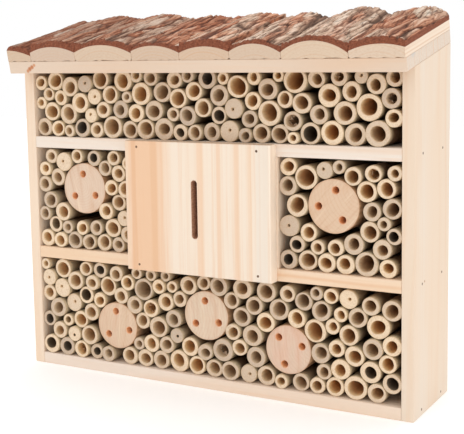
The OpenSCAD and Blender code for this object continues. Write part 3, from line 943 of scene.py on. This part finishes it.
def barkRelief(s, t, seed):
    # s across and t along the slope, in millimetres: the relief there, how high it lies in its
    # plate, and the plate's tint
    bend = (smoothNoise(s / 16, t / 50, seed) - 0.5) * 6
    bend += (smoothNoise(s / 5, t / 13, seed + 6) - 0.5) * 2.2
    level, rim = plates((s + bend) / 8.5, t / 64, seed + 3)
    small, smallRim = plates((s + bend * 1.2) / 3.4, t / 26, seed + 4)
    crack, smallCrack = unit(rim * 1.9) ** 0.6, unit(smallRim * 1.8)
    thread = smoothNoise((s + bend) / 1.3, t / 20, seed + 5) - 0.5
    fissure = lines((s + bend * 1.1) / 2.6, t / 34, seed + 12, 0.11)
    longFissure = lines((s + bend) / 6.5, t / 80, seed + 14, 0.07)
    fine = smoothNoise(s * 0.9, t * 0.42, seed + 8) - 0.5
    swell = smoothNoise(s / 25, t / 45, seed + 9) - 0.5
    relief = (
        bark["plate"] * (level - 0.5) * crack + bark["smallPlate"] * (small - 0.5) * smallCrack
        + bark["thread"] * thread + bark["fine"] * fine + bark["swell"] * swell
        - bark["furrow"] * (1 - crack) - bark["smallFurrow"] * (1 - smallCrack)
        - bark["fissure"] * fissure - bark["longFissure"] * longFissure)
    high = (0.25 + 0.75 * crack) * (0.45 + 0.3 * level + 0.15 * small + 0.7 * thread)
    high *= (0.75 + 0.25 * smallCrack) * (1 - 0.7 * fissure) * (1 - 0.9 * longFissure)
    return relief * mm, unit(high), (level * 7.13) % 1


def makeBark():
    cutRows, bite = bark["cutRows"], bark["bite"]
    for i in range(lastSlab + 1):
        node = f"slab_bark_{i + 1}"
        xs, hs, _, front, back = woodProfile(f"roof_slab_{i + 1}")
        left, right = xs[0], xs[-1]
        nu, nt = int((right - left) / bark["step"]), int((back - front) / bark["step"])
        x, u = np.linspace(left, right, nu), np.linspace(front, back, nt)
        wood = np.interp(x, xs, hs)
        gx, gu = np.meshgrid(x, u)
        seed = 11.3 * (i + 1)
        relief, high, tint = barkRelief(gx * 1000, gu * 1000, seed)
        toLeft, toRight = gx - left, right - gx
        if i == 0:
            fromEdge, outerEdge = toRight, toLeft
        elif i == lastSlab:
            fromEdge, outerEdge = toLeft, toRight
        else:
            fromEdge, outerEdge = np.minimum(toLeft, toRight), np.full(gx.shape, 1.0)
        valley = unit(1 - fromEdge / bark["valleyWidth"]) ** 1.5
        lip = unit(fromEdge / (1.2 * mm)) ** 0.5
        body = bark["base"] * (bark["thin"] + bark["valley"] * valley) * (0.5 + 0.5 * lip)
        worn = unit(outerEdge / bark["wornEdge"]) ** 0.7
        risen = bark["rise"] * np.linspace(0, 1, nt)[:, None] * (0.3 + 0.7 * lip) * worn
        body = body * (0.75 + 0.25 * worn)
        depth = np.maximum(bark["thick"][i] * body + relief + risen, bark["thinnest"])
        slopeAt = np.gradient(wood, x)
        lean = -slopeAt / np.sqrt(1 + slopeAt ** 2) * bark["leaning"]
        px = np.clip(gx + depth * lean[None, :], left - 0.5 * mm, right + 0.5 * mm)
        bevel = bark["bevel"] * (0.5 + smoothNoise(x * 260, x * 0, seed + 5)) + depth[0] * 0.2
        raggedBack = (smoothNoise(x * 300, x * 0, seed + 6) - 0.5) * 4 * mm
        share = np.linspace(0, 1, nt)[:, None]
        pu = gu + bevel[None, :] * (1 - share) + raggedBack[None, :] * share ** 8
        rows = []
        for j in range(cutRows):
            q = j / cutRows
            rough = (smoothNoise(x * 900, x * 0 + j, seed + 20) - 0.5) * 0.5 * mm * (q > 0)
            rise = wood - bite + (depth[0] + bite) * q
            rows.append(np.column_stack([x + (px[0] - x) * q, front + bevel * q ** 1.4 + rough, rise]))
        top = np.column_stack([px.ravel(), pu.ravel(), (wood[None, :] + depth).ravel()])
        under = np.column_stack([x, np.full(nu, back), wood - bite])
        points = fromRoof(np.vstack([*rows, top, under]))
        deepRows = cutRows + nt + 1
        faces = []
        for b in range(deepRows):
            here, after = b * nu, (b + 1) % deepRows * nu
            for a in range(nu - 1):
                faces.append((here + a, here + a + 1, after + a + 1, after + a))
        for side in (0, nu - 1):
            loop = [b * nu + side for b in range(deepRows)]
            faces.append(tuple(loop if side == 0 else reversed(loop)))
        cutAway = unit(1 - (gu - front) / (2.5 * mm)) * 0.8
        cutAway = np.maximum(cutAway, unit(1 - outerEdge / (1.2 * mm)))
        shades = np.column_stack([high.ravel(), cutAway.ravel(), tint.ravel(), np.ones(nt * nu)])
        sawn = np.tile([0.3, 1, 0.5, 1], (cutRows * nu, 1))
        colours = np.vstack([sawn, shades, sawn[:nu]])
        finish = barkFinish(f"slabBark{i + 1}", bark["greyness"][i], bark["shade"][i], seed)
        mesh = buildMesh(node, points, faces, None, {"bark": colours})
        addPiece(f"slabBark.{i + 1}", mesh, [finish], node, sharpAngle=60)


# nails, plates and screws

nail = {
    "sides": 20, "dome": 0.2 * mm, "seen": 0.72, "light": tone(140, 112, 92), "dark": tone(82, 62, 50),
    "cloud": 700.0,
}


def metalFinish(name, light, dark, scale):
    f = Finish(name)
    cloudy = f.noise(f.place(), scale, 3.0, 0.6)
    stretched = f.node("VectorMath", {"operation": "MULTIPLY"}, [f.place(), (900, 900, 60)])
    normal = f.bump(f.noise(stretched, 1.0, 2.0), 0.05 * mm, 0.3)
    colour = f.mix(cloudy.between(0.35, 0.7), light, dark)
    return f.surface(colour, 0.32 + cloudy * 0.25, 0.5, {"Normal": normal, "Metallic": 1.0})


def headAndAxis(solid):
    # from a nail's points: its head's middle, the way its shank runs, the head's radius, the nail's
    # length and the shank's radius
    middle = solid.mean(0)
    spread = np.linalg.svd(solid - middle, full_matrices=False)[2][0]
    places = (solid - middle) @ spread
    radial = np.linalg.norm(solid - middle - np.outer(places, spread), axis=1)
    ends = places.min(), places.max()
    width = [radial[np.abs(places - end) < 0.2 * mm].max() for end in ends]
    atHead = int(np.argmax(width))
    axis = spread if atHead == 0 else -spread
    head = solid[np.abs(places - ends[atHead]) < 0.2 * mm].mean(0)
    return head, axis, max(width), ends[1] - ends[0], min(width)


def makeNails():
    finish = metalFinish("nailSteel", nail["light"], nail["dark"], nail["cloud"])
    sides, dome = nail["sides"], nail["dome"]
    turn = fullTurn(sides)
    for node in [n for n in nodeNames if n.endswith("_nails")]:
        points, faces = [], []
        for solid in loosePieces(node):
            head, axis, wide, length, thin = headAndAxis(solid)
            axis = Vector(axis)
            side = axis.orthogonal().normalized()
            other = axis.cross(side)
            wide *= nail["seen"]
            profile = [
                (0.0, -dome), (wide * 0.55, -dome * 0.9), (wide * 0.85, -dome * 0.5),
                (wide * 0.98, 0.05 * mm), (wide, 0.3 * mm), (thin, 0.8 * mm), (thin, length - 2 * mm),
                (0.0, length),
            ]
            first = len(points)
            for reach, down in profile:
                for t in turn:
                    ring = side * math.cos(t) * reach + other * math.sin(t) * reach
                    points.append(Vector(head) + axis * down + ring)
            for j in range(len(profile) - 1):
                faces += bandFaces(first + j * sides, first + (j + 1) * sides, sides)
        mesh = buildMesh(node, points, faces)
        work = bmesh.new()
        work.from_mesh(mesh)
        bmesh.ops.remove_doubles(work, verts=work.verts, dist=weldDistance)
        bmesh.ops.recalc_face_normals(work, faces=work.faces)
        work.to_mesh(mesh)
        work.free()
        addPiece("nails." + node, mesh, [finish], node)


zinc = {"light": tone(206, 208, 210), "dark": tone(160, 164, 168), "spangle": 260.0}


def dressHangers():
    finish = metalFinish("zincPlate", zinc["light"], zinc["dark"], zinc["spangle"])
    for node in ("left_hanger", "right_hanger", "hanger_screws"):
        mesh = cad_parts[node].data
        mesh.materials.clear()
        mesh.materials.append(finish)


# floor, light and camera

studio = {
    "floorTone": tone(254, 254, 254), "floorCloud": tone(252, 252, 251), "floorGlow": 0.14,
    "floorSize": 6.0, "sky": 1.0, "skyTone": (1.0, 1.0, 1.0, 1.0), "aim": (0, 0, 0.17),
}
lamps = {
    "key": {"place": (-0.9, -1.7, 1.5), "size": 1.4, "power": 3.0, "tone": (0.98, 0.99, 1.0)},
    "fill": {"place": (1.9, -0.8, 0.9), "size": 1.6, "power": 3.0, "tone": (0.98, 0.99, 1.0)},
    "top": {"place": (0.2, 0.3, 2.0), "size": 1.6, "power": 2.6, "tone": (1.0, 1.0, 1.0)},
}
camera = {
    "place": (0.4791, -0.8504, 0.3116), "turn": (82.92, 0.93, 29.00), "lens": 81.28, "sensor": 36.0,
    "shiftY": -0.0832, "nearest": 0.01,
}


def floorFinish():
    f = Finish("paleFloor")
    cloudy = f.noise(f.place(), 3.0, 2.0)
    colour = f.mix(cloudy * 0.3, studio["floorTone"], studio["floorCloud"])
    glow = {"Emission Color": (1.0, 1.0, 1.0, 1.0), "Emission Strength": studio["floorGlow"]}
    return f.surface(colour, 0.8, 0.2, glow)


def setStudio():
    world = bpy.data.worlds.new("studio")
    bpy.context.scene.world = world
    world.use_nodes = True
    sky = world.node_tree.nodes["Background"]
    sky.inputs["Color"].default_value = studio["skyTone"]
    sky.inputs["Strength"].default_value = studio["sky"]
    half = studio["floorSize"] / 2
    mesh = bpy.data.meshes.new("floor")
    corners = [(-half, -half, 0), (half, -half, 0), (half, half, 0), (-half, half, 0)]
    mesh.from_pydata(corners, [], [(0, 1, 2, 3)])
    mesh.materials.append(floorFinish())
    floor = bpy.data.objects.new("floor", mesh)
    show(floor)
    for name, lamp in lamps.items():
        data = bpy.data.lights.new(name, "AREA")
        data.size = lamp["size"]
        data.energy = lamp["power"]
        data.color = lamp["tone"]
        lit = bpy.data.objects.new(name, data)
        lit.location = lamp["place"]
        aim = Vector(studio["aim"]) - lit.location
        lit.rotation_euler = aim.to_track_quat("-Z", "Y").to_euler()
        show(lit)


def setCamera():
    data = bpy.data.cameras.new("camera")
    data.lens = camera["lens"]
    data.sensor_width = camera["sensor"]
    data.shift_y = camera["shiftY"]
    data.clip_start = camera["nearest"]
    seen = bpy.data.objects.new("camera", data)
    seen.location = camera["place"]
    seen.rotation_euler = [math.radians(a) for a in camera["turn"]]
    show(seen)
    bpy.context.scene.camera = seen
    bpy.context.scene.view_settings.view_transform = "Standard"


setStudio()
setCamera()
print("studio, lights and camera are set")
makeCase()
makeRoofBoard()
dressBackPanel()
makeFrontPanel()
print("boards are cut and dressed")
makeLogs()
print("logs are drilled")
print(makeCanes(), "canes are laid")
makeSlabs()
makeBark()
print("the roof has its slabs and bark")
makeNails()
dressHangers()
print("nails, plates and screws are in")
